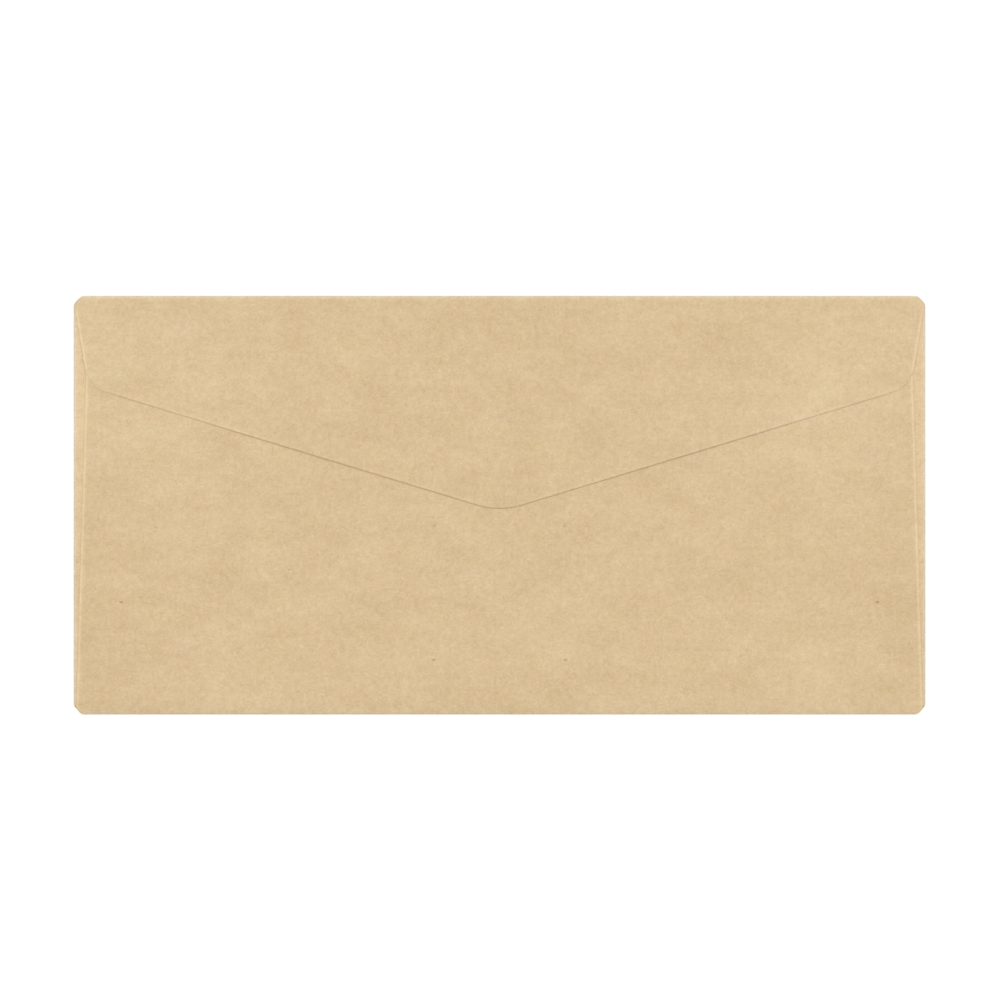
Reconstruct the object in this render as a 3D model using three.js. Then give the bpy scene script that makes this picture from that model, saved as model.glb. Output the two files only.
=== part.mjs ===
import * as THREE from 'three';

// A flat kraft envelope with a pointed seal flap, folded from one die-cut sheet.
// It lies on its address side with the flap closed. Sizes are in millimetres.
// X runs along the long side, Y towards the top fold, and Z up through the layers.

// Size over the folds
const envelopeLength = 221.2;
const envelopeHeight = 108.7;

// The paper, and the room between its layers
const paper = 0.15;
const pocketRoom = 0.3;
const seamGlueThickness = 0.05;
const flapRoom = 0.11;
const sealGumThickness = 0.04;

// The cut across each folded corner, at 45 degrees
const cornerCut = 2.25;
const cornerRound = 1.5;

// Seal flap: depths are measured down from the top fold, and the inset in from the envelope's side
// at the lower end of the corner cut
const flapPointDepth = 56.05;
const flapPointRadius = 19.8;
const flapShoulderDepth = 23.65;
const flapShoulderRadius = 4.5;
const flapSideInset = 0.26;
const flapSideTaper = THREE.MathUtils.degToRad(9.45);

// Back panel: its side edges lean in from the bottom fold up to the throat
const throatDepth = 14.5;
const throatRadius = 8;
const backSideInset = 0.67;
const backSideTaper = THREE.MathUtils.degToRad(1.7);

// Side flaps
const sideFlapWidth = 17;
const sideFlapEndAngle = THREE.MathUtils.degToRad(15);
const sideFlapRadius = 6;

// Seam glue, set in from the back panel's side edge
const seamGlueWidth = 5;
const seamGlueMargin = 1.5;
const seamGlueEndGap = 8;

// Gum band along the point of the seal flap
const sealGumWidth = 9;
const sealGumMargin = 1.5;
const sealGumEndGap = 10;
const sealGumRadius = 1;

// Fineness of the curves
const cornerSteps = 12;
const creaseSteps = 12;

// Underside of each layer
const sideFlapLevel = paper + pocketRoom;
const seamGlueLevel = sideFlapLevel + paper;
const backPanelLevel = seamGlueLevel + seamGlueThickness;
const sealGumLevel = backPanelLevel + paper + flapRoom;
const sealFlapLevel = sealGumLevel + sealGumThickness;

// Outside radius of each fold: half of what it wraps round
const sideFoldRadius = (sideFlapLevel + paper) / 2;
const bottomFoldRadius = (backPanelLevel + paper) / 2;
const topFoldRadius = (sealFlapLevel + paper) / 2;

// Where each fold's paper turns flat, measured from the centre of the envelope
const halfLength = envelopeLength / 2;
const halfHeight = envelopeHeight / 2;

const kraft = { color: '#dac099', roughness: 0.88, metalness: 0 };
const kraftInside = { color: '#d9c09b', roughness: 0.9, metalness: 0 };
const starchGlue = { color: '#cfb88c', roughness: 0.6, metalness: 0 };
const dryGum = { color: '#e0cca6', roughness: 0.3, metalness: 0 };

// How far along an edge from the square corner the paper starts, at a depth in from that edge
function cornerStart(depth) {
  const roundDepth = cornerRound * (1 - Math.SQRT1_2);
  if (depth >= roundDepth) {
    return cornerCut - depth;
  }
  const roundEnd = cornerCut + cornerRound * Math.tan(Math.PI / 8);
  return roundEnd - Math.sqrt(cornerRound ** 2 - (cornerRound - depth) ** 2);
}

// A closed outline through [x, y, radius] corners, each rounded as far as its sides allow
function roundedOutline(corners) {
  const points = [];
  const count = corners.length;
  corners.forEach(([x, y, radius = 0], index) => {
    const corner = new THREE.Vector2(x, y);
    const [beforeX, beforeY] = corners[(index + count - 1) % count];
    const [afterX, afterY] = corners[(index + 1) % count];
    const back = new THREE.Vector2(beforeX, beforeY).sub(corner);
    const ahead = new THREE.Vector2(afterX, afterY).sub(corner);
    const room = Math.min(back.length(), ahead.length()) / 2;
    back.normalize();
    ahead.normalize();
    const halfAngle = Math.acos(THREE.MathUtils.clamp(back.dot(ahead), -1, 1)) / 2;
    const reach = Math.min(radius / Math.tan(halfAngle), room);
    if (reach === 0) {
      points.push(corner);
      return;
    }
    const arcRadius = reach * Math.tan(halfAngle);
    const toCentre = back.clone().add(ahead).setLength(arcRadius / Math.sin(halfAngle));
    const centre = corner.clone().add(toCentre);
    const first = corner.clone().addScaledVector(back, reach).sub(centre);
    const last = corner.clone().addScaledVector(ahead, reach).sub(centre);
    const clockwise = back.cross(ahead) > 0;
    const arc = new THREE.Path();
    arc.absarc(centre.x, centre.y, arcRadius, first.angle(), last.angle(), clockwise);
    points.push(...arc.getPoints(cornerSteps));
  });
  return new THREE.Shape(points);
}

// The same corners on the other side of the centre line, in running order
function mirrored(corners) {
  const other = corners.map(([x, y, radius]) => [-x, y, radius]);
  return other.reverse();
}

function namedMesh(name, geometry, look) {
  const mesh = new THREE.Mesh(geometry, new THREE.MeshStandardMaterial(look));
  mesh.name = name;
  return mesh;
}

// A flat layer: its outline raised by its thickness, with its underside at a level
function flatLayer(name, outline, thickness, level, look) {
  const options = { depth: thickness, bevelEnabled: false };
  const mesh = namedMesh(name, new THREE.ExtrudeGeometry(outline, options), look);
  mesh.position.z = level;
  return mesh;
}

// Bent paper along a fold: part of a ring, its ends trimmed by the corner cut.
// Local x points out of the fold, y up and z along it.
function crease(name, edgeLength, foldRadius, fromAngle, toAngle) {
  const section = new THREE.Shape();
  section.absarc(0, 0, foldRadius, fromAngle, toAngle, false);
  section.absarc(0, 0, foldRadius - paper, toAngle, fromAngle, true);
  const options = { depth: 1, bevelEnabled: false, curveSegments: creaseSteps };
  const geometry = new THREE.ExtrudeGeometry(section, options);
  const place = geometry.attributes.position;
  for (let i = 0; i < place.count; i += 1) {
    const depth = Math.max(foldRadius - place.getX(i), 0);
    const end = edgeLength / 2 - cornerStart(depth);
    place.setZ(i, place.getZ(i) > 0.5 ? end : -end);
  }
  geometry.computeVertexNormals();
  return namedMesh(name, geometry, kraft);
}

// Turns a crease to face a heading in the plan, with its centre line at a distance that way
function faceOutwards(mesh, heading, distance, level) {
  mesh.rotation.set(Math.PI / 2, 0, heading, 'ZXY');
  mesh.position.set(Math.cos(heading) * distance, Math.sin(heading) * distance, level);
  return mesh;
}

function frontPanel() {
  const side = halfLength - sideFoldRadius;
  const sideEnd = cornerStart(sideFoldRadius);
  const right = [
    [halfLength - cornerStart(bottomFoldRadius), bottomFoldRadius - halfHeight],
    [side, sideEnd - halfHeight],
    [side, halfHeight - sideEnd],
    [halfLength - cornerStart(topFoldRadius), halfHeight - topFoldRadius],
  ];
  const outline = roundedOutline([...right, ...mirrored(right)]);
  return flatLayer('front_panel', outline, paper, 0, kraft);
}

// Folded in from the front panel's side edge, with both ends sloped back and rounded
function sideFlap(name, side) {
  const foldEnd = halfHeight - cornerStart(sideFoldRadius);
  const slope = (sideFlapWidth - sideFoldRadius) * Math.tan(sideFlapEndAngle);
  const outerX = side * (halfLength - sideFoldRadius);
  const innerX = side * (halfLength - sideFlapWidth);
  const outline = roundedOutline([
    [outerX, foldEnd],
    [innerX, foldEnd - slope, sideFlapRadius],
    [innerX, slope - foldEnd, sideFlapRadius],
    [outerX, -foldEnd],
  ]);
  return flatLayer(name, outline, paper, sideFlapLevel, kraftInside);
}

// X of the back panel's right edge at a height above the bottom fold
function backSideX(height) {
  return halfLength - backSideInset - height * Math.tan(backSideTaper);
}

// Folded up from the bottom, over the side flaps, to a straight throat under the seal flap
function backPanel() {
  const cutHeight = (cornerCut - backSideInset) / (1 + Math.tan(backSideTaper));
  const throatHeight = envelopeHeight - throatDepth;
  const right = [
    [halfLength - cornerStart(bottomFoldRadius), bottomFoldRadius - halfHeight],
    [backSideX(cutHeight), cutHeight - halfHeight, cornerRound],
    [backSideX(throatHeight), throatHeight - halfHeight, throatRadius],
  ];
  const outline = roundedOutline([...right, ...mirrored(right)]);
  return flatLayer('back_panel', outline, paper, backPanelLevel, kraft);
}

// A strip between the side flap and the back panel, parallel to the back panel's cut edge
function seamGlue(name, side) {
  const low = seamGlueEndGap;
  const high = envelopeHeight - throatDepth - seamGlueEndGap;
  const outerX = (height) => side * (backSideX(height) - seamGlueMargin);
  const innerX = (height) => side * (backSideX(height) - seamGlueMargin - seamGlueWidth);
  const outline = roundedOutline([
    [outerX(low), low - halfHeight],
    [outerX(high), high - halfHeight],
    [innerX(high), high - halfHeight],
    [innerX(low), low - halfHeight],
  ]);
  return flatLayer(name, outline, seamGlueThickness, seamGlueLevel, starchGlue);
}

// The pointed edge of the seal flap, seen from the hinge line with Y running down as minus
const sideSlope = Math.tan(flapSideTaper);
const shoulderX = halfLength - flapSideInset - (flapShoulderDepth - cornerCut) * sideSlope;
const pointSlope = (flapPointDepth - flapShoulderDepth) / shoulderX;
const slopeLength = Math.hypot(1, pointSlope);

function sealFlap() {
  const cutInset = flapSideInset / (1 + sideSlope);
  const right = [
    [shoulderX, -flapShoulderDepth, flapShoulderRadius],
    [halfLength - cutInset, cutInset - cornerCut, cornerRound],
    [halfLength - cornerStart(topFoldRadius), -topFoldRadius],
  ];
  const point = [0, -flapPointDepth, flapPointRadius];
  const outline = roundedOutline([point, ...right, ...mirrored(right)]);
  return flatLayer('seal_flap', outline, paper, sealFlapLevel - topFoldRadius, kraft);
}

// One band that follows both edges of the point, a margin in from them
function sealGum() {
  const endX = shoulderX - sealGumEndGap;
  const outerDepth = flapPointDepth - sealGumMargin * slopeLength;
  const innerDepth = outerDepth - sealGumWidth * slopeLength;
  const outerRadius = flapPointRadius - sealGumMargin;
  const innerRadius = outerRadius - sealGumWidth;
  const end = [
    [endX, pointSlope * endX - outerDepth, sealGumRadius],
    [endX, pointSlope * endX - innerDepth, sealGumRadius],
  ];
  const outline = roundedOutline([
    [0, -outerDepth, outerRadius],
    ...end,
    [0, -innerDepth, innerRadius],
    ...mirrored(end),
  ]);
  return flatLayer('seal_gum', outline, sealGumThickness, sealGumLevel - topFoldRadius, dryGum);
}

// The pocket, with the front half of the top crease
function pocket() {
  const group = new THREE.Group();
  const down = -Math.PI / 2;
  const up = Math.PI / 2;
  const leftCrease = crease('left_side_crease', envelopeHeight, sideFoldRadius, down, up);
  const rightCrease = crease('right_side_crease', envelopeHeight, sideFoldRadius, down, up);
  const bottomCrease = crease('bottom_crease', envelopeLength, bottomFoldRadius, down, up);
  const topCrease = crease('top_crease_front', envelopeLength, topFoldRadius, down, 0);
  group.add(
    frontPanel(),
    sideFlap('left_side_flap', -1),
    sideFlap('right_side_flap', 1),
    seamGlue('left_seam_glue', -1),
    seamGlue('right_seam_glue', 1),
    backPanel(),
    faceOutwards(leftCrease, Math.PI, halfLength - sideFoldRadius, sideFoldRadius),
    faceOutwards(rightCrease, 0, halfLength - sideFoldRadius, sideFoldRadius),
    faceOutwards(bottomCrease, down, halfHeight - bottomFoldRadius, bottomFoldRadius),
    faceOutwards(topCrease, up, halfHeight - topFoldRadius, topFoldRadius),
  );
  return group;
}

// The closure, whose origin is the hinge line: the outermost line of the top fold.
// Turned about -X it opens, and half a turn lays it in the plane of the front panel.
function closure() {
  const group = new THREE.Group();
  const outwards = Math.PI / 2;
  const flapCrease = crease('top_crease_flap', envelopeLength, topFoldRadius, 0, Math.PI / 2);
  group.add(sealFlap(), sealGum(), faceOutwards(flapCrease, outwards, -topFoldRadius, 0));
  group.position.set(0, halfHeight, topFoldRadius);
  return group;
}

const envelope = new THREE.Group();
envelope.add(pocket(), closure());

export default envelope;
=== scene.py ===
import math

import bmesh
import bpy
import numpy as np
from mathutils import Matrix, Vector, noise

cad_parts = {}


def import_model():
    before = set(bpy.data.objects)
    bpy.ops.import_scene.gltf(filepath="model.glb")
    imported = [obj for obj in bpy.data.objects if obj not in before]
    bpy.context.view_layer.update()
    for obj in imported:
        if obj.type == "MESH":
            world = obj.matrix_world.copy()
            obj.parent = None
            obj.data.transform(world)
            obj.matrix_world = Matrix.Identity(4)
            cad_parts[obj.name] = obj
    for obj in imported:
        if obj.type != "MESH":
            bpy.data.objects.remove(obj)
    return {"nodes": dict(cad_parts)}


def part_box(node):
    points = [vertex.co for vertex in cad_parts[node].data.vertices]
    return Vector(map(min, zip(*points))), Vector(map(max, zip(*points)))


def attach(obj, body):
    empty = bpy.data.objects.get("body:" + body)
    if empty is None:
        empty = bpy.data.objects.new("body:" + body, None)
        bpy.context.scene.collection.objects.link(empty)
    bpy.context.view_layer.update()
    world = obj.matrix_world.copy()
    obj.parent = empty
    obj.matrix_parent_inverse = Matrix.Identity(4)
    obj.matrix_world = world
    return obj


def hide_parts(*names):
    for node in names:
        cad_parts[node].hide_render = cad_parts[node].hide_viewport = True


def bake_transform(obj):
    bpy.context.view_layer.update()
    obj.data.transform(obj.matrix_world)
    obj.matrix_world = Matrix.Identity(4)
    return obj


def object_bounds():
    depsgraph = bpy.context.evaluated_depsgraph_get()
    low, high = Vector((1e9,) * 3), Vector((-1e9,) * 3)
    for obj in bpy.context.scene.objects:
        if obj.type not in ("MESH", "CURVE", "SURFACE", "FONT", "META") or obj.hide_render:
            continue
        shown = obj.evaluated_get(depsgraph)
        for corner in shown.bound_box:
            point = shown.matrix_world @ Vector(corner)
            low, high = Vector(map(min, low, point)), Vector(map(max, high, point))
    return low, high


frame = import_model()
cad_low, cad_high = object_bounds()

# Sizes in metres. What the frame holds is read from it, and the rest is named here.
MM = 0.001
HALF_LENGTH = cad_high.x
HALF_HEIGHT = cad_high.y
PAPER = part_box("front_panel")[1].z
UP = Vector((0, 0, 1))

# The cut across each folded corner, and the rounding at its ends
CORNER_CUT = 2.25 * MM
CORNER_ROUND = 1.5 * MM

# The rounded corners of the back panel at the mouth of the pocket, and of the seal flap in turn,
# and the steps in each arc
MOUTH_ROUND = 3.5 * MM
SHOULDER_ROUND = 8.0 * MM
POINT_ROUND = 19.8 * MM
ARC_STEPS = 12

# The meshes: the grid over a panel, the steps round a fold, the strip of the front panel that goes
# with each fold, the least length of a long edge, and how far inside such an edge lines run along it
GRID = 2.5 * MM
CREASE_STEPS = 20
STRIP = 0.6 * MM
LONG_EDGE = 12 * MM
EDGE_LINES = (0.1 * MM, 0.2 * MM, 0.35 * MM, 0.5 * MM, 0.8 * MM, 1.3 * MM)

# The cut edge: its outer corner is rolled down, and a pale line runs a little way inside it, partly
# paler cut paper and partly a painted highlight
EDGE_ROLL = 0.4 * MM
ROLL_SHARE = 0.5
PALE_INSET = 0.33 * MM
PALE_REACH = 0.35 * MM

# The same pale line along edges that aren't sides, such as the slanting ones of the seal flap
POINT_INSET = 0.45 * MM
POINT_REACH = 0.28 * MM

# The rise for each unit of its length at which an edge starts to be a side, and at which it is one
SIDE_STARTS = 0.93
SIDE_FULL = 0.985

# Where the edge is rolled down further at the shoulders of the seal flap, in mm, and by how much
SHOULDER = (103, 32)
SHOULDER_REACH = (6, 5)
SHOULDER_PRESS = 0.45

# Where the sides of the seal flap bend down beyond the back panel, over what width, and how far
BESIDE_BACK = 107.0 * MM
SIDE_BEND = 2.8 * MM
SIDE_SINK = 0.24 * MM

# How far in from its edge a fold turns flat, in radii, and how far its pale line reaches
FOLD_SPREAD = 3.0
PALE_FOLD_REACH = 0.8 * MM

# The air under the gum of the closed seal flap, in mm: how much there is at the middle, how much
# that changes between two distances from the middle, and a soft bulge with its place and reach
AIR_MIDDLE = 0.11
AIR_CHANGES = ((15, 35, 0.02), (60, 84, -0.10), (85, 94, 0.035), (97, 102, -0.055))
AIR_BULGE = 0.03
BULGE_PLACE = 55
BULGE_REACH = 9

# Small dark marks on the back panel and nicks in the side flaps, with their mirror images: the place
# of each in mm and how dark it is, and the half width and half height of them all
BACK_MARKS = ((98.1, -25.2, 0.30), (17.1, -40.2, 0.30), (89.0, -5.9, 0.16), (16.9, -5.5, 0.20))
SIDE_NICKS = ((109.6, -14.8, 0.12),)
MARK_WIDTH = 0.5
MARK_HEIGHT = 0.3

# The picture: a square frame, this wide at the height of the folds. Lens and sensor are in mm.
VIEW_WIDTH = 259.86 * MM
VIEW_CENTRE = Vector((0.26 * MM, 1.17 * MM, 0.4 * MM))
LENS = 100.0
SENSOR = 36.0
NEAREST = 0.05
FARTHEST = 20.0

# The light: an even white sky, and a soft lamp above the top fold that adds this share of daylight
SKY = 0.80
LAMP_SHARE = 0.20
LAMP_AZIMUTH = math.radians(90)
LAMP_ELEVATION = math.radians(50)
LAMP_SPREAD = math.radians(30)

# The floor, just under the envelope
FLOOR_HALF = 3.0
FLOOR_LEVEL = -0.02 * MM
FLOOR_GREY = 0.85
FLOOR_GLOW = 0.35

# Colours, as linear values
KRAFT = (0.691, 0.519, 0.306)
SIDE_KRAFT = (0.735, 0.547, 0.321)
PALE_FOLD = (0.73, 0.63, 0.47)
SPECK = (0.16, 0.10, 0.05)
GLUE = (0.62, 0.47, 0.27)
GUM = (0.70, 0.55, 0.34)

# How much of a change of the paper's tone reaches its red, green and blue, and how far its pink and
# its yellow places move them
KRAFT_SWING = (0.92, 1.15, 1.55)
PINK_CAST = (0.0, -0.07, -0.06)
YELLOW_CAST = (0.0, 0.0, -0.09)

# How far each layer of the paper's texture moves its tone
CLOUDS = 0.11
STREAKS = 0.17
FORMATION = 0.25
GRAIN = 0.25
PALE_FIBRES = 0.15
LONG_FIBRES = 0.12
DARK_FIBRES = -0.19
# The pale line inside cut edges: partly paler cut paper, partly painted highlight
PALE_EDGE_AND_HIGHLIGHT = 0.20

# How wide a fibre is, and how far apart the two faces of the sheet lie in the texture, in mm
FIBRE_WIDTH = 0.06
FACES_APART = 3.0


def smooth(value, start, end):
    """0 before start, 1 after end, and a smooth step between."""
    t = min(max((value - start) / (end - start), 0.0), 1.0)
    return t * t * (3 - 2 * t)


def dome(depth, width):
    """Height of a quarter ellipse of that width and a height of 1, at a depth in from its end."""
    return math.sqrt(1 - (1 - min(depth / width, 1.0)) ** 2)


def corner_start(depth):
    """How far along an edge from the square corner the paper starts, at a depth in from that edge."""
    if depth >= CORNER_ROUND * (1 - math.sqrt(0.5)):
        return CORNER_CUT - depth
    round_end = CORNER_CUT + CORNER_ROUND * math.tan(math.pi / 8)
    return round_end - math.sqrt(CORNER_ROUND**2 - (CORNER_ROUND - depth) ** 2)


# The rise of each layer above its flat level, in the plan


def ripples(x, y, seed):
    """Soft cockle, longer along the envelope than across it, from about -1 to 1."""
    return noise.noise(Vector((x / (34 * MM), y / (9 * MM), seed)))


def swell(x, y, seed):
    """Broad swelling of a loose layer, from about -1 to 1."""
    return noise.noise(Vector((x / (70 * MM), y / (45 * MM), seed)))


def flat(x, y):
    """A layer that is glued down lies flat."""
    return 0.0


def front_rise(x, y):
    """The front panel lies on the table along its folds and swells up a little inside them."""
    inset = min(HALF_LENGTH - abs(x), HALF_HEIGHT - abs(y))
    loose = smooth(inset, 2 * MM, 22 * MM)
    return loose * (0.09 + 0.05 * swell(x, y, seed=3.1) + 0.02 * ripples(x, y, seed=4.7)) * MM


def back_rise(x, y):
    """The back panel sags between its glued sides and stays up along the bottom fold."""
    from_side = smooth(HALF_LENGTH - abs(x), 11 * MM, 42 * MM)
    from_fold = smooth(HALF_HEIGHT + y, 1.5 * MM, 24 * MM)
    wave = 0.035 * swell(x, y, seed=8.3) + 0.014 * ripples(x, y, seed=1.9)
    return from_side * from_fold * (-0.06 + wave) * MM


# The room that the seal flap has to sink before its gum touches the back panel
FLAP_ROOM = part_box("seal_gum")[0].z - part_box("back_panel")[1].z


def flap_air(x, y):
    """The air left under the gum of the closed seal flap: least at its shoulders."""
    bulge = math.exp(-(((abs(x) / MM - BULGE_PLACE) / BULGE_REACH) ** 2))
    air = AIR_MIDDLE + AIR_BULGE * bulge + 0.005 * swell(x, y, seed=5.5)
    for start, end, change in AIR_CHANGES:
        air += change * smooth(abs(x), start * MM, end * MM)
    return air * MM


def flap_rise(x, y):
    """The seal flap lies down on the back panel, and its sides bend down onto the side flaps."""
    from_fold = smooth(HALF_HEIGHT - y, 1.0 * MM, 18 * MM)
    beside_back = smooth(abs(x), BESIDE_BACK, BESIDE_BACK + SIDE_BEND)
    off_fold = smooth(HALF_HEIGHT - y, 1.0 * MM, 9 * MM)
    lie = back_rise(x, y) - FLAP_ROOM + flap_air(x, y)
    return from_fold * lie - SIDE_SINK * beside_back * off_fold


# Painted light and shade: how much paler or darker the paper is painted at a place of the closed envelope


def patch(x, y, middle, reach):
    """1 in the middle of a soft patch, given in mm, and of its mirror image, and 0 well away."""
    across = (abs(x) / MM - middle[0]) / reach[0]
    up = (y / MM - middle[1]) / reach[1]
    return math.exp(-(across**2) - up**2)


def painted_light_and_shade(x, y):
    """Painted light and shade: broad paler and darker patches, and shade along the bottom fold."""
    shoulders = 0.05 * patch(x, y, (84, 30), (20, 22))
    upper_sides = 0.03 * patch(x, y, (110, 44), (9, 24))
    top = -0.02 * patch(x, y, (0, 50), (16, 8))
    lower_sides = -0.03 * patch(x, y, (110, -38), (14, 24))
    lower_quarters = 0.03 * patch(x, y, (80, -42), (9, 10))
    foot = -0.035 * patch(x, y, (0, -52), (22, 7))
    bottom_fold = -0.025 * math.exp(-(((y + HALF_HEIGHT) / (2.5 * MM)) ** 2))
    return shoulders + upper_sides + top + lower_sides + lower_quarters + foot + bottom_fold


def painted_strip_light_and_shade(x, y):
    """Painted light and shade on a side flap's strip, paler beside the seal flap than the back panel."""
    return painted_light_and_shade(x, y) + 0.015 * smooth(y, 2 * MM, 22 * MM)


# Outlines and flat meshes


def plan_loop(node):
    """The outline of a flat CAD node in the plan, counterclockwise."""
    mesh = bmesh.new()
    mesh.from_mesh(frame["nodes"][node].data)
    bmesh.ops.remove_doubles(mesh, verts=mesh.verts, dist=0.001 * MM)
    tops = {face for face in mesh.faces if face.normal.z > 0.9}
    after = {}
    for face in tops:
        for loop in face.loops:
            if not any(other in tops for other in loop.edge.link_faces if other is not face):
                after[loop.vert] = loop.link_loop_next.vert
    start = next(iter(after))
    points = [start.co.to_2d()]
    vert = after[start]
    while vert is not start:
        points.append(vert.co.to_2d())
        vert = after[vert]
    mesh.free()
    return points


def cut_by_lines(mesh, lines):
    """Divides a flat mesh along straight lines, each a point and a normal in the plane."""
    for point, normal in lines:
        bmesh.ops.bisect_plane(
            mesh,
            geom=mesh.verts[:] + mesh.edges[:] + mesh.faces[:],
            dist=0.0005 * MM,
            plane_co=(point[0], point[1], 0),
            plane_no=(normal[0], normal[1], 0),
        )


def steps_between(low, high):
    """Multiples of the grid step inside a span, a fifth of a step or more from its ends."""
    first = math.ceil(low / GRID + 0.2)
    last = math.floor(high / GRID - 0.2)
    return [i * GRID for i in range(first, last + 1)]


def edge_lines(corners):
    """Lines parallel to each long cut edge of a folded panel, at set distances inside it.

    The edges that lie level are the fold itself and the mouth of the pocket, and they get none.
    """
    lines = []
    for first, second in zip(corners, corners[1:] + corners[:1]):
        along = Vector(second) - Vector(first)
        if along.length < LONG_EDGE or abs(along.y) < 1e-6:
            continue
        inwards = Vector((-along.y, along.x)).normalized()
        lines += [(Vector(first) + inwards * distance, inwards) for distance in EDGE_LINES]
    return lines


def rounding(first, second, radius):
    """The arc that rounds the corner where two straight edges of an outline would meet."""
    before = (first[1] - first[0]).normalized()
    after = (second[1] - second[0]).normalized()
    share = (second[0] - first[1]).cross(after) / before.cross(after)
    corner = first[1] + before * share
    turn = before.angle(after)
    inwards = before.orthogonal()
    centre = corner - before * radius * math.tan(turn / 2) + inwards * radius
    angles = [turn * i / ARC_STEPS for i in range(ARC_STEPS + 1)]
    return [centre + (before * math.sin(t) - inwards * math.cos(t)) * radius for t in angles]


def with_corner_radii(points, radii):
    """An open outline whose corners between its long straight edges get those radii in turn."""
    edges = [(p, q) for p, q in zip(points, points[1:]) if (q - p).length > LONG_EDGE]
    made = points[: points.index(edges[0][0]) + 1]
    for first, second, radius in zip(edges, edges[1:], radii):
        made += rounding(first, second, radius)
    return made + points[points.index(edges[-1][1]) :]


def distance_to(points, edges):
    """From each point to the nearest of some edges, and which edge that is."""
    points = np.array(points)[:, None, :]
    first = np.array([edge[0] for edge in edges])[None]
    along = np.array([edge[1] for edge in edges])[None] - first
    share = ((points - first) * along).sum(2) / (along**2).sum(2)
    nearest = first + along * np.clip(share, 0, 1)[:, :, None]
    gap = np.linalg.norm(points - nearest, axis=2)
    return gap.min(1), gap.argmin(1)


def set_vectors(mesh, name, vectors):
    """Gives each point of a mesh a vector that the materials can read by name."""
    attribute = mesh.attributes.new(name, "FLOAT_VECTOR", "POINT")
    attribute.data.foreach_set("vector", np.array(vectors, np.float32).ravel())


def paper_solid(name, plan, place, blank, paleness_and_painted_shading, roll):
    """Gives a flat mesh of the sheet its two faces and its cut edges.

    place(point, outer) is where a point of the plan lies, and blank(point) is its place on the
    unfolded sheet. For each point, its paleness and painted shading hold how pale its cut edge is,
    partly as painted highlight, how pale its fold line is and the painted light and shade on the
    paper, and roll the share of the thickness by which the outer face is rolled down.
    """
    plan.verts.index_update()
    points = [vert.co.copy() for vert in plan.verts]
    count = len(points)
    inner = [place(point, False) for point in points]
    outer = [place(point, True).lerp(under, share) for point, under, share in zip(points, inner, roll)]
    verts = outer + inner
    faces = []
    for face in plan.faces:
        ring = [vert.index for vert in face.verts]
        faces.append(ring[::-1])
        faces.append([index + count for index in ring])
    rims = set()
    for edge in plan.edges:
        if len(edge.link_loops) == 1:
            loop = edge.link_loops[0]
            a = loop.vert.index
            b = loop.link_loop_next.vert.index
            faces.append([a, b, b + count, a + count])
            rims.add(frozenset((a, b)))
            rims.add(frozenset((a + count, b + count)))
    mesh = bpy.data.meshes.new(name)
    mesh.from_pydata(verts, [], faces)
    mesh.polygons.foreach_set("use_smooth", [True] * len(mesh.polygons))
    sharp = mesh.attributes.new("sharp_edge", "BOOLEAN", "EDGE")
    sharp.data.foreach_set("value", [frozenset(edge.vertices) in rims for edge in mesh.edges])
    places = [blank(point) / MM for point in points]
    outer_places = [(p.x, p.y, 0.0) for p in places]
    inner_places = [(p.x, p.y, FACES_APART) for p in places]
    set_vectors(mesh, "blank", outer_places + inner_places)
    inner_paleness_and_painted_shading = [(pale, 0.0, painted_shading) for pale, pale_fold, painted_shading in paleness_and_painted_shading]
    set_vectors(mesh, "paleness_and_painted_shading", paleness_and_painted_shading + inner_paleness_and_painted_shading)
    mesh.validate()
    piece = bpy.data.objects.new(name, mesh)
    bpy.context.scene.collection.objects.link(piece)
    return piece


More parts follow.
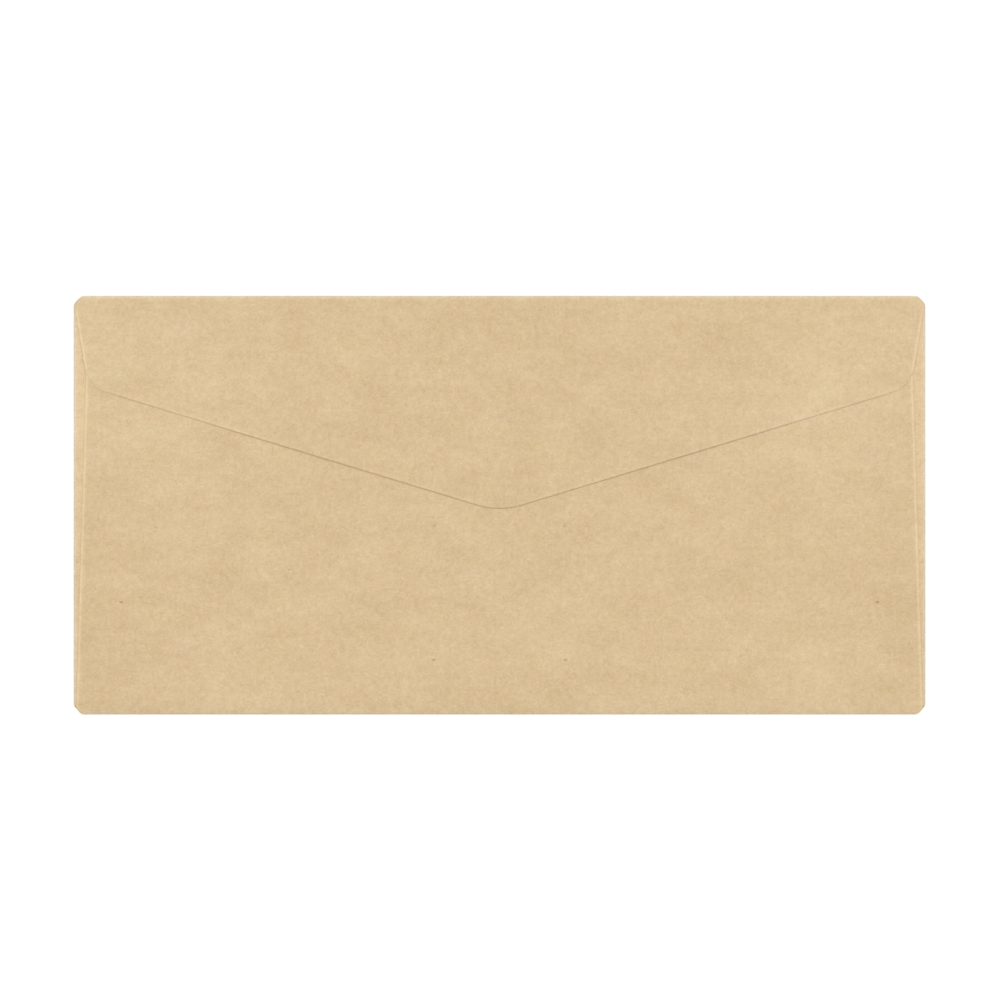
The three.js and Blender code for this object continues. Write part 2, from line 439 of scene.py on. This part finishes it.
class Fold:
    """One fold of the sheet: a crease along an edge of the front panel, and the panel it carries.

    A point of the unfolded sheet is (a, b): a along the fold, and b out across it, from 0 where
    the front panel starts to bend.
    """

    def __init__(self, panel, heading, rise, painted_shading):
        self.panel = panel
        self.rise = rise
        self.painted_shading = painted_shading
        self.out = Vector((round(math.cos(heading)), round(math.sin(heading)), 0))
        self.along = self.out.cross(UP)
        sideways = abs(self.out.x) > 0.5
        self.reach = HALF_LENGTH if sideways else HALF_HEIGHT
        self.half_edge = HALF_HEIGHT if sideways else HALF_LENGTH
        self.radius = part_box(panel)[1].z / 2
        self.mean = self.radius - PAPER / 2
        self.crease = math.pi * self.mean

    def depth(self, b):
        """How far in from the edge of the envelope a line across the sheet lies, once folded."""
        beyond = max(-b, b - self.crease)
        if beyond > 0:
            return self.radius + beyond
        return max(self.radius * (1 - math.sin(b / self.mean)), 0.0)

    def sink(self, b):
        """How much lower the upper side of the fold lies than a round one would."""
        if b < self.crease / 2:
            return 0.0
        depth = self.depth(b)
        return self.radius * (dome(depth, self.radius) - dome(depth, FOLD_SPREAD * self.radius))

    def end(self, b):
        """How far the fold reaches along its edge, from the middle to the cut corner."""
        return self.half_edge - corner_start(self.depth(b))

    def place(self, point, outer):
        """Where a point of the unfolded sheet lies on the closed envelope, on its outer or inner face."""
        a, b = point.x, point.y
        thick = self.radius if outer else self.radius - PAPER
        if b < 0:
            out = self.reach - self.radius + b
            return self.along * a + self.out * out + UP * (self.radius - thick)
        if b <= self.crease:
            angle = b / self.mean
            out = self.reach - self.radius + thick * math.sin(angle)
            height = self.radius - thick * math.cos(angle) - self.sink(b)
            return self.along * a + self.out * out + UP * height
        place = self.along * a + self.out * (self.reach - self.depth(b))
        return place + UP * (self.radius + thick - self.sink(b) + self.rise(place.x, place.y))

    def blank(self, point):
        """Where a point of the unfolded sheet lies in the plan of the whole blank."""
        return (self.along * point.x + self.out * (self.reach - self.radius + point.y)).to_2d()

    def unfolded(self, x, y):
        """Where a place of the folded panel, in mm, lies on the unfolded sheet, in mm."""
        place = Vector((x * MM, y * MM, 0))
        b = self.crease + self.reach - self.radius - place.dot(self.out)
        return self.blank(Vector((place.dot(self.along), b))) / MM

    def outline(self):
        """The panel's outline, from its fold's right end round to its left end."""
        far = self.crease + self.reach - self.radius
        points = []
        for corner in reversed(plan_loop(self.panel)):
            corner = corner.to_3d()
            points.append(Vector((corner.dot(self.along), far - corner.dot(self.out))))
        first = min(range(len(points)), key=lambda i: points[i].y - points[i].x * 1e-3)
        return points[first:] + points[:first]

    def sheet(self, name, side_paleness, point_paleness, fold_paleness, corner_radii=(), pressed=0.0):
        """The crease and its panel as one piece of paper.

        side_paleness and point_paleness say how pale its steep and its other cut edges are, partly as
        painted highlight, and fold_paleness how pale and grey its fold line is. corner_radii replace the
        radii of its corners in turn, and pressed is how much more the edge is rolled down at the
        shoulders of the seal flap.
        """
        corners = self.outline()
        if corner_radii:
            corners = with_corner_radii(corners, corner_radii)
        columns = steps_between(-self.end(self.crease / 2), self.end(self.crease / 2))
        rows = [-STRIP, 0.0] + [self.crease * (i + 1) / CREASE_STEPS for i in range(CREASE_STEPS)]
        mesh = bmesh.new()
        mesh.faces.new([mesh.verts.new((p.x, p.y, 0)) for p in corners])
        lines = [((a, 0), (1, 0)) for a in columns]
        far = max(p.y for p in corners)
        lines += [((0, b), (0, 1)) for b in steps_between(self.crease, far)]
        lines += [((0, self.crease + distance), (0, 1)) for distance in EDGE_LINES]
        cut_by_lines(mesh, lines + edge_lines(corners))
        grid = []
        for b in rows:
            places = [-self.end(b)] + columns + [self.end(b)]
            grid.append([mesh.verts.new((a, b, 0)) for a in places])
        for low, high in zip(grid, grid[1:]):
            for i in range(len(low) - 1):
                mesh.faces.new([low[i], low[i + 1], high[i + 1], high[i]])
        bmesh.ops.remove_doubles(mesh, verts=mesh.verts, dist=0.002 * MM)
        paleness_and_painted_shading, roll = self.edges(mesh, corners, side_paleness, point_paleness, fold_paleness, pressed)
        piece = paper_solid(name, mesh, self.place, self.blank, paleness_and_painted_shading, roll)
        mesh.free()
        return piece

    def edges(self, mesh, corners, side_paleness, point_paleness, fold_paleness, pressed):
        """The paleness and painted light and shade of each point, and how far the cut edge beside it is
        rolled down there.
        """
        points = [(vert.co.x, vert.co.y) for vert in mesh.verts]
        cut_edges = [(tuple(p), tuple(q)) for p, q in zip(corners, corners[1:])]
        gap, which = distance_to(points, cut_edges)
        paleness_and_painted_shading = []
        roll = []
        for (a, b), near, index in zip(points, gap, which):
            first, second = cut_edges[index]
            slope = abs(second[1] - first[1]) / math.dist(first, second)
            steep = smooth(slope, SIDE_STARTS, SIDE_FULL)
            strength = point_paleness + (side_paleness - point_paleness) * steep
            inset = POINT_INSET + (PALE_INSET - POINT_INSET) * steep
            reach = POINT_REACH + (PALE_REACH - POINT_REACH) * steep
            pale = strength * math.exp(-(((near - inset) / reach) ** 2))
            pale_fold = math.exp(-(((b - self.crease / 2) / PALE_FOLD_REACH) ** 2))
            place = self.place(Vector((a, b)), True)
            paleness_and_painted_shading.append((pale, fold_paleness * pale_fold, self.painted_shading(place.x, place.y)))
            on_panel = smooth(b, self.crease, self.crease + EDGE_ROLL)
            share = ROLL_SHARE + pressed * patch(place.x, place.y, SHOULDER, SHOULDER_REACH)
            roll.append(share * on_panel * max(1 - near / EDGE_ROLL, 0.0) ** 2)
        return paleness_and_painted_shading, roll


def flat_sheet(name, corners, level_outer, level_inner, rise):
    """A flat layer that follows a rise, from its outline in the plan."""
    mesh = bmesh.new()
    mesh.faces.new([mesh.verts.new((p[0], p[1], 0)) for p in corners])
    bmesh.ops.triangulate(mesh, faces=mesh.faces[:])
    xs = [p[0] for p in corners]
    ys = [p[1] for p in corners]
    lines = [((x, 0), (1, 0)) for x in steps_between(min(xs), max(xs))]
    lines += [((0, y), (0, 1)) for y in steps_between(min(ys), max(ys))]
    cut_by_lines(mesh, lines)

    def place(point, outer):
        level = level_outer if outer else level_inner
        return Vector((point.x, point.y, level + rise(point.x, point.y)))

    paleness_and_painted_shading = [(0.0, 0.0, 0.0)] * len(mesh.verts)
    roll = [0.0] * len(mesh.verts)
    piece = paper_solid(name, mesh, place, lambda point: point.to_2d(), paleness_and_painted_shading, roll)
    mesh.free()
    return piece


def front_outline(folds):
    """The front panel inside the strips that belong to the folds."""
    side = folds["left"].radius + STRIP
    bottom = folds["bottom"].radius + STRIP
    top = folds["top"].radius + STRIP
    right = [
        (HALF_LENGTH - corner_start(bottom), bottom - HALF_HEIGHT),
        (HALF_LENGTH - side, corner_start(side) - HALF_HEIGHT),
        (HALF_LENGTH - side, HALF_HEIGHT - corner_start(side)),
        (HALF_LENGTH - corner_start(top), HALF_HEIGHT - top),
    ]
    return right + [(-x, y) for x, y in reversed(right)]


# Materials


class Shader:
    """The node tree of a material or of the world, built one node at a time."""

    def __init__(self, owner):
        self.owner = owner
        owner.use_nodes = True
        self.tree = owner.node_tree
        self.tree.nodes.clear()

    def node(self, kind, inputs=None, **settings):
        """A node with its settings, and with each input either set or linked to an output."""
        made = self.tree.nodes.new("ShaderNode" + kind)
        for key, value in settings.items():
            setattr(made, key, value)
        for key, value in (inputs or {}).items():
            if isinstance(value, bpy.types.NodeSocket):
                self.tree.links.new(value, made.inputs[key])
            else:
                made.inputs[key].default_value = value
        return made

    def math(self, operation, a, b=0.0, c=0.0):
        return self.node("Math", {0: a, 1: b, 2: c}, operation=operation).outputs[0]

    def vector(self, operation, a, b):
        return self.node("VectorMath", {0: a, 1: b}, operation=operation).outputs["Vector"]

    def scaled(self, vector, factor):
        made = self.node("VectorMath", {0: vector, "Scale": factor}, operation="SCALE")
        return made.outputs["Vector"]

    def attribute(self, name):
        return self.node("Attribute", attribute_name=name).outputs["Vector"]

    def moved(self, coordinates, shift, stretch=(1.0, 1.0, 1.0)):
        settings = {"Vector": coordinates, "Location": shift, "Scale": stretch}
        return self.node("Mapping", settings).outputs[0]

    def noise(
        self,
        coordinates,
        scale,
        stretch=(1.0, 1.0, 1.0),
        shift=(0.0, 0.0, 0.0),
        detail=2.0,
        rough=0.5,
    ):
        """Noise of about one feature per 1/scale millimetres, centred on 0."""
        place = self.moved(coordinates, shift, stretch)
        settings = {"Vector": place, "Scale": scale, "Detail": detail, "Roughness": rough}
        return self.math("SUBTRACT", self.node("TexNoise", settings).outputs["Fac"], 0.5)

    def fade(self, value, start, end):
        """0 at start and 1 at end, with a smooth step between."""
        settings = {"Value": value, "From Min": start, "From Max": end}
        return self.node("MapRange", settings, interpolation_type="SMOOTHSTEP").outputs["Result"]

    def mix(self, factor, a, b):
        """From colour a at a factor of 0 to colour b at 1."""
        made = self.node("Mix", {"Factor": factor}, data_type="RGBA")
        for index, value in ((6, a), (7, b)):
            if isinstance(value, bpy.types.NodeSocket):
                self.tree.links.new(value, made.inputs[index])
            else:
                made.inputs[index].default_value = (*value, 1.0)
        return made.outputs[2]

    def cells(self, place, cell):
        """Irregular cells of that size over a plane: each place's position in it and the cell's node."""
        flat_place = self.vector("MULTIPLY", place, (1 / cell, 1 / cell, 0.0))
        cells = self.node("TexVoronoi", {"Vector": flat_place, "Scale": 1.0}, voronoi_dimensions="2D")
        colour = self.node("SeparateColor", {"Color": cells.outputs["Color"]})
        return flat_place, cells, colour.outputs

    def seen(self):
        """1 where the picture shows the surface itself, and 0 where it only lights the rest."""
        rays = self.node("LightPath").outputs
        direct = self.math("MAXIMUM", rays["Is Camera Ray"], rays["Is Glossy Ray"])
        return self.math("MAXIMUM", direct, rays["Is Transmission Ray"])

    def surface(self, kind, shader):
        self.node("Output" + kind, {"Surface": shader})


def fibres(shader, coordinates, cell, length, shift, share):
    """Short curved fibres, one in each cell that has one, as a mask. Sizes are in mm."""
    place = shader.moved(coordinates, shift)
    flat_place, cells, chance = shader.cells(place, cell)
    offset = shader.vector("SUBTRACT", flat_place, cells.outputs["Position"])
    angle = shader.math("MULTIPLY", chance["Red"], 2 * math.pi)
    turned = shader.node("VectorRotate", {"Vector": offset, "Angle": angle}, rotation_type="Z_AXIS")
    parts = shader.node("SeparateXYZ", {"Vector": turned.outputs[0]}).outputs
    bend = shader.math("SUBTRACT", chance["Green"], 0.5)
    arch = shader.math("MULTIPLY", shader.math("MULTIPLY", parts["X"], parts["X"]), bend)
    across = shader.math("ABSOLUTE", shader.math("MULTIPLY_ADD", arch, 2.5, parts["Y"]))
    thin = shader.fade(across, FIBRE_WIDTH / cell, 0.3 * FIBRE_WIDTH / cell)
    along = shader.math("ABSOLUTE", parts["X"])
    short = shader.fade(along, 0.5 * length / cell, 0.35 * length / cell)
    chosen = shader.math("LESS_THAN", chance["Blue"], share)
    return shader.math("MULTIPLY", shader.math("MULTIPLY", thin, short), chosen)


def specks(shader, coordinates, cell, radius, shift, share):
    """Sparse small dots with a ragged edge, as a mask. Sizes are in mm."""
    wobble = shader.node("TexNoise", {"Vector": coordinates, "Scale": 6.0, "Detail": 1.0})
    wobble = shader.vector("SUBTRACT", wobble.outputs["Color"], (0.5, 0.5, 0.5))
    wobble = shader.vector("MULTIPLY", wobble, (0.5, 0.5, 0.0))
    place = shader.vector("ADD", shader.moved(coordinates, shift), wobble)
    flat_place, cells, chance = shader.cells(place, cell)
    size = shader.math("MULTIPLY_ADD", chance["Green"], 0.7 * radius / cell, 0.3 * radius / cell)
    inside = shader.math("DIVIDE", cells.outputs["Distance"], size)
    chosen = shader.math("LESS_THAN", chance["Blue"], share)
    return shader.math("MULTIPLY", shader.fade(inside, 1.0, 0.5), chosen)


def marks(shader, coordinates, places):
    """Small soft marks, each wider than high, at places on the sheet and their mirror images."""
    parts = shader.node("SeparateXYZ", {"Vector": coordinates}).outputs
    across = shader.math("ABSOLUTE", parts["X"])
    total = 0.0
    for x, y, strength in places:
        right = shader.math("MULTIPLY", shader.math("SUBTRACT", across, abs(x)), 1 / MARK_WIDTH)
        above = shader.math("MULTIPLY", shader.math("SUBTRACT", parts["Y"], y), 1 / MARK_HEIGHT)
        far = shader.math("MULTIPLY_ADD", above, above, shader.math("MULTIPLY", right, right))
        total = shader.math("MULTIPLY_ADD", shader.fade(far, 1.6, 0.1), strength, total)
    return total


def kraft_hue(shader, blank, base):
    """The base colour, a little pinker in some places and yellower in others."""
    pink = shader.noise(blank, 0.20, shift=(31.0, 17.0, 5.0))
    yellow = shader.noise(blank, 0.23, shift=(3.0, 57.0, 11.0))
    cast = shader.vector("ADD", shader.scaled(PINK_CAST, pink), shader.scaled(YELLOW_CAST, yellow))
    return shader.vector("MULTIPLY", shader.vector("ADD", cast, (1.0, 1.0, 1.0)), base)


def kraft_material(name, base, places):
    """Uncoated kraft: cloudy formation, fine grain, fibres and a few dark specks."""
    shader = Shader(bpy.data.materials.new(name))
    blank = shader.attribute("blank")
    # Pale cut edges (paler cut paper and painted highlight), pale folds, and painted light and shade
    paleness_and_painted_shading = shader.node("SeparateXYZ", {"Vector": shader.attribute("paleness_and_painted_shading")}).outputs
    pale_edge_and_highlight, pale_fold, painted_shading = paleness_and_painted_shading["X"], paleness_and_painted_shading["Y"], paleness_and_painted_shading["Z"]

    clouds = shader.noise(blank, 0.04, stretch=(1.0, 1.3, 1.0))
    streaks = shader.noise(blank, 0.13, stretch=(0.8, 1.2, 1.0), shift=(7.0, 3.0, 0.0), detail=3.0)
    formation = shader.noise(blank, 0.55, detail=3.0, rough=0.6)
    grain = shader.noise(blank, 1.5, stretch=(0.9, 1.1, 1.0))

    pale_fibres = fibres(shader, blank, cell=1.5, length=1.3, shift=(0.0, 0.0, 0.0), share=0.5)
    long_fibres = fibres(shader, blank, cell=2.3, length=2.0, shift=(9.3, 4.1, 0.0), share=0.5)
    dark_fibres = fibres(shader, blank, cell=2.1, length=1.4, shift=(3.7, 11.9, 0.0), share=0.45)
    dark_specks = specks(shader, blank, cell=9.0, radius=0.22, shift=(5.0, 2.0, 0.0), share=0.03)

    layers = (
        (clouds, CLOUDS),
        (streaks, STREAKS),
        (formation, FORMATION),
        (grain, GRAIN),
        (pale_fibres, PALE_FIBRES),
        (long_fibres, LONG_FIBRES),
        (dark_fibres, DARK_FIBRES),
        (pale_edge_and_highlight, PALE_EDGE_AND_HIGHLIGHT),
    )
    # The tone starts from the painted light and shade
    tone = painted_shading
    for layer, weight in layers:
        tone = shader.math("MULTIPLY_ADD", layer, weight, tone)
    tone = shader.math("SUBTRACT", tone, marks(shader, blank, places))

    colour = kraft_hue(shader, blank, base)
    colour = shader.mix(shader.math("MULTIPLY", pale_fold, 0.9), colour, PALE_FOLD)
    swing = shader.vector("ADD", shader.scaled(KRAFT_SWING, tone), (1.0, 1.0, 1.0))
    colour = shader.vector("MULTIPLY", colour, swing)
    colour = shader.mix(shader.math("MULTIPLY", dark_specks, 0.6), colour, SPECK)

    height = shader.math("MULTIPLY_ADD", formation, 0.5, grain)
    height = shader.math("MULTIPLY_ADD", pale_fibres, 0.12, height)
    height = shader.math("MULTIPLY_ADD", dark_fibres, 0.1, height)
    bump = shader.node("Bump", {"Height": height, "Strength": 1.0, "Distance": 0.02 * MM})
    rough = shader.math("MULTIPLY_ADD", formation, -0.2, 0.88)
    principled = shader.node(
        "BsdfPrincipled",
        {
            "Base Color": colour,
            "Roughness": rough,
            "Specular IOR Level": 0.3,
            "Normal": bump.outputs[0],
        },
    )
    shader.surface("Material", principled.outputs[0])
    return shader.owner


def film_material(name, base, roughness, coat, streak):
    """A dried film of glue or gum on kraft, with the paper's formation showing through."""
    shader = Shader(bpy.data.materials.new(name))
    place = shader.scaled(shader.node("TexCoord").outputs["Object"], 1 / MM)
    formation = shader.noise(place, 0.6, detail=3.0)
    lines = shader.noise(place, 0.5, stretch=streak, shift=(3.0, 8.0, 0.0), detail=3.0)
    tone = shader.math("MULTIPLY_ADD", formation, 0.12, 1.0)
    tone = shader.math("MULTIPLY_ADD", lines, 0.10, tone)
    pools = shader.fade(lines, -0.1, 0.15)
    colour = shader.mix(pools, tuple(c * 0.95 for c in base), base)
    colour = shader.scaled(colour, tone)
    bump = shader.node("Bump", {"Height": lines, "Strength": 1.0, "Distance": 0.03 * MM})
    rough = shader.math("MULTIPLY_ADD", lines, 0.3, roughness)
    principled = shader.node(
        "BsdfPrincipled",
        {
            "Base Color": colour,
            "Roughness": rough,
            "Specular IOR Level": 0.5,
            "Coat Weight": coat,
            "Coat Roughness": 0.25,
            "Normal": bump.outputs[0],
        },
    )
    shader.surface("Material", principled.outputs[0])
    return shader.owner


# The paper, the gum and the glue


def front_piece(folds, material):
    """The address side, which lies on the table."""
    front = flat_sheet("front_sheet", front_outline(folds), 0.0, PAPER, front_rise)
    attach(front, "pocket")
    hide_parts("front_panel")
    front.data.materials.append(material)


def side_piece(side, fold, material):
    """A side flap with its fold, as one sheet of paper."""
    sheet = fold.sheet(side + "_side_sheet", side_paleness=0.0, point_paleness=0.0, fold_paleness=1.0)
    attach(sheet, "pocket")
    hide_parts(side + "_side_flap", side + "_side_crease")
    sheet.data.materials.append(material)


def back_piece(fold, material):
    """The back panel with the bottom fold, as one sheet of paper."""
    back = fold.sheet(
        "back_sheet",
        side_paleness=0.8,
        point_paleness=0.3,
        fold_paleness=0.3,
        corner_radii=(MOUTH_ROUND, MOUTH_ROUND),
    )
    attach(back, "pocket")
    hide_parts("back_panel", "bottom_crease")
    back.data.materials.append(material)


def flap_piece(fold, material):
    """The seal flap with its fold, one sheet of paper over where the pocket ends and the flap starts."""
    flap = fold.sheet(
        "seal_flap_sheet",
        side_paleness=0.8,
        point_paleness=0.22,
        fold_paleness=1.0,
        corner_radii=(SHOULDER_ROUND, POINT_ROUND, SHOULDER_ROUND),
        pressed=SHOULDER_PRESS,
    )
    flap.data.materials.append(material)
    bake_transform(flap)
    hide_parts("seal_flap", "top_crease_front", "top_crease_flap")


def gum_piece():
    """The band of dry gum under the seal flap."""
    gum_low, gum_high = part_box("seal_gum")
    gum = flat_sheet("seal_gum_band", plan_loop("seal_gum"), gum_low.z, gum_high.z, flap_rise)
    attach(gum, "seal_flap")
    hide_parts("seal_gum")
    look = film_material("dry_gum", GUM, roughness=0.38, coat=0.4, streak=(0.3, 2.0, 1.0))
    gum.data.materials.append(look)


def glue_lines():
    """The two seams keep their CAD shape and get the look of dried glue."""
    glue = film_material("starch_glue", GLUE, roughness=0.6, coat=0.1, streak=(2.0, 0.3, 1.0))
    for side in ("left", "right"):
        node = frame["nodes"][side + "_seam_glue"]
        node.data.materials.clear()
        node.data.materials.append(glue)


def envelope():
    """All the pieces of the envelope, with the materials that they share."""
    folds = {
        "left": Fold("left_side_flap", math.pi, flat, painted_strip_light_and_shade),
        "right": Fold("right_side_flap", 0.0, flat, painted_strip_light_and_shade),
        "bottom": Fold("back_panel", -math.pi / 2, back_rise, painted_light_and_shade),
        "top": Fold("seal_flap", math.pi / 2, flap_rise, painted_light_and_shade),
    }
    back_marks = [(*folds["bottom"].unfolded(x, y), strength) for x, y, strength in BACK_MARKS]
    side_nicks = [(*folds["right"].unfolded(x, y), strength) for x, y, strength in SIDE_NICKS]
    outside = kraft_material("kraft_outside", KRAFT, back_marks)
    inside = kraft_material("kraft_side_flap", SIDE_KRAFT, side_nicks)
    front_piece(folds, outside)
    for side in ("left", "right"):
        side_piece(side, folds[side], inside)
    back_piece(folds["bottom"], outside)
    flap_piece(folds["top"], outside)
    gum_piece()
    glue_lines()


# The stage


def floor():
    """A pale floor that shows white, and still takes the envelope's shadow."""
    mesh = bpy.data.meshes.new("floor")
    signs = ((-1, -1), (1, -1), (1, 1), (-1, 1))
    corners = [(x * FLOOR_HALF, y * FLOOR_HALF, FLOOR_LEVEL) for x, y in signs]
    mesh.from_pydata(corners, [], [(0, 1, 2, 3)])
    piece = bpy.data.objects.new("floor", mesh)
    bpy.context.scene.collection.objects.link(piece)
    shader = Shader(bpy.data.materials.new("floor"))
    strength = shader.math("MULTIPLY", shader.seen(), FLOOR_GLOW)
    glow = shader.node("Emission", {"Color": (1, 1, 1, 1), "Strength": strength})
    matt = shader.node("BsdfDiffuse", {"Color": (FLOOR_GREY, FLOOR_GREY, FLOOR_GREY, 1)})
    both = shader.node("AddShader", {0: matt.outputs[0], 1: glow.outputs[0]})
    shader.surface("Material", both.outputs[0])
    mesh.materials.append(shader.owner)


def world():
    """An even sky that lights the envelope softly and is seen as white."""
    shader = Shader(bpy.data.worlds.new("studio"))
    settings = {"Value": shader.seen(), "To Min": SKY, "To Max": 1.0}
    strength = shader.node("MapRange", settings).outputs["Result"]
    sky = shader.node("Background", {"Color": (1, 1, 1, 1), "Strength": strength})
    shader.surface("World", sky.outputs[0])
    bpy.context.scene.world = shader.owner


def soft_lamp():
    """A distant soft lamp that gives a level surface its share of full daylight."""
    lamp = bpy.data.lights.new("key", "SUN")
    lamp.energy = LAMP_SHARE * math.pi / math.sin(LAMP_ELEVATION)
    lamp.angle = LAMP_SPREAD
    piece = bpy.data.objects.new("key", lamp)
    level = math.cos(LAMP_ELEVATION)
    sideways = level * math.cos(LAMP_AZIMUTH)
    upwards = level * math.sin(LAMP_AZIMUTH)
    towards = Vector((sideways, upwards, math.sin(LAMP_ELEVATION)))
    piece.rotation_mode = "QUATERNION"
    piece.rotation_quaternion = towards.to_track_quat("Z", "Y")
    bpy.context.scene.collection.objects.link(piece)


def camera():
    """Straight above the envelope, its top fold up in the picture."""
    data = bpy.data.cameras.new("camera")
    data.lens = LENS
    data.sensor_width = SENSOR
    data.clip_start = NEAREST
    data.clip_end = FARTHEST
    piece = bpy.data.objects.new("camera", data)
    piece.location = VIEW_CENTRE + UP * VIEW_WIDTH * LENS / SENSOR
    bpy.context.scene.collection.objects.link(piece)
    bpy.context.scene.camera = piece


camera()
envelope()
floor()
world()
soft_lamp()
bpy.context.scene.view_settings.view_transform = "Standard"
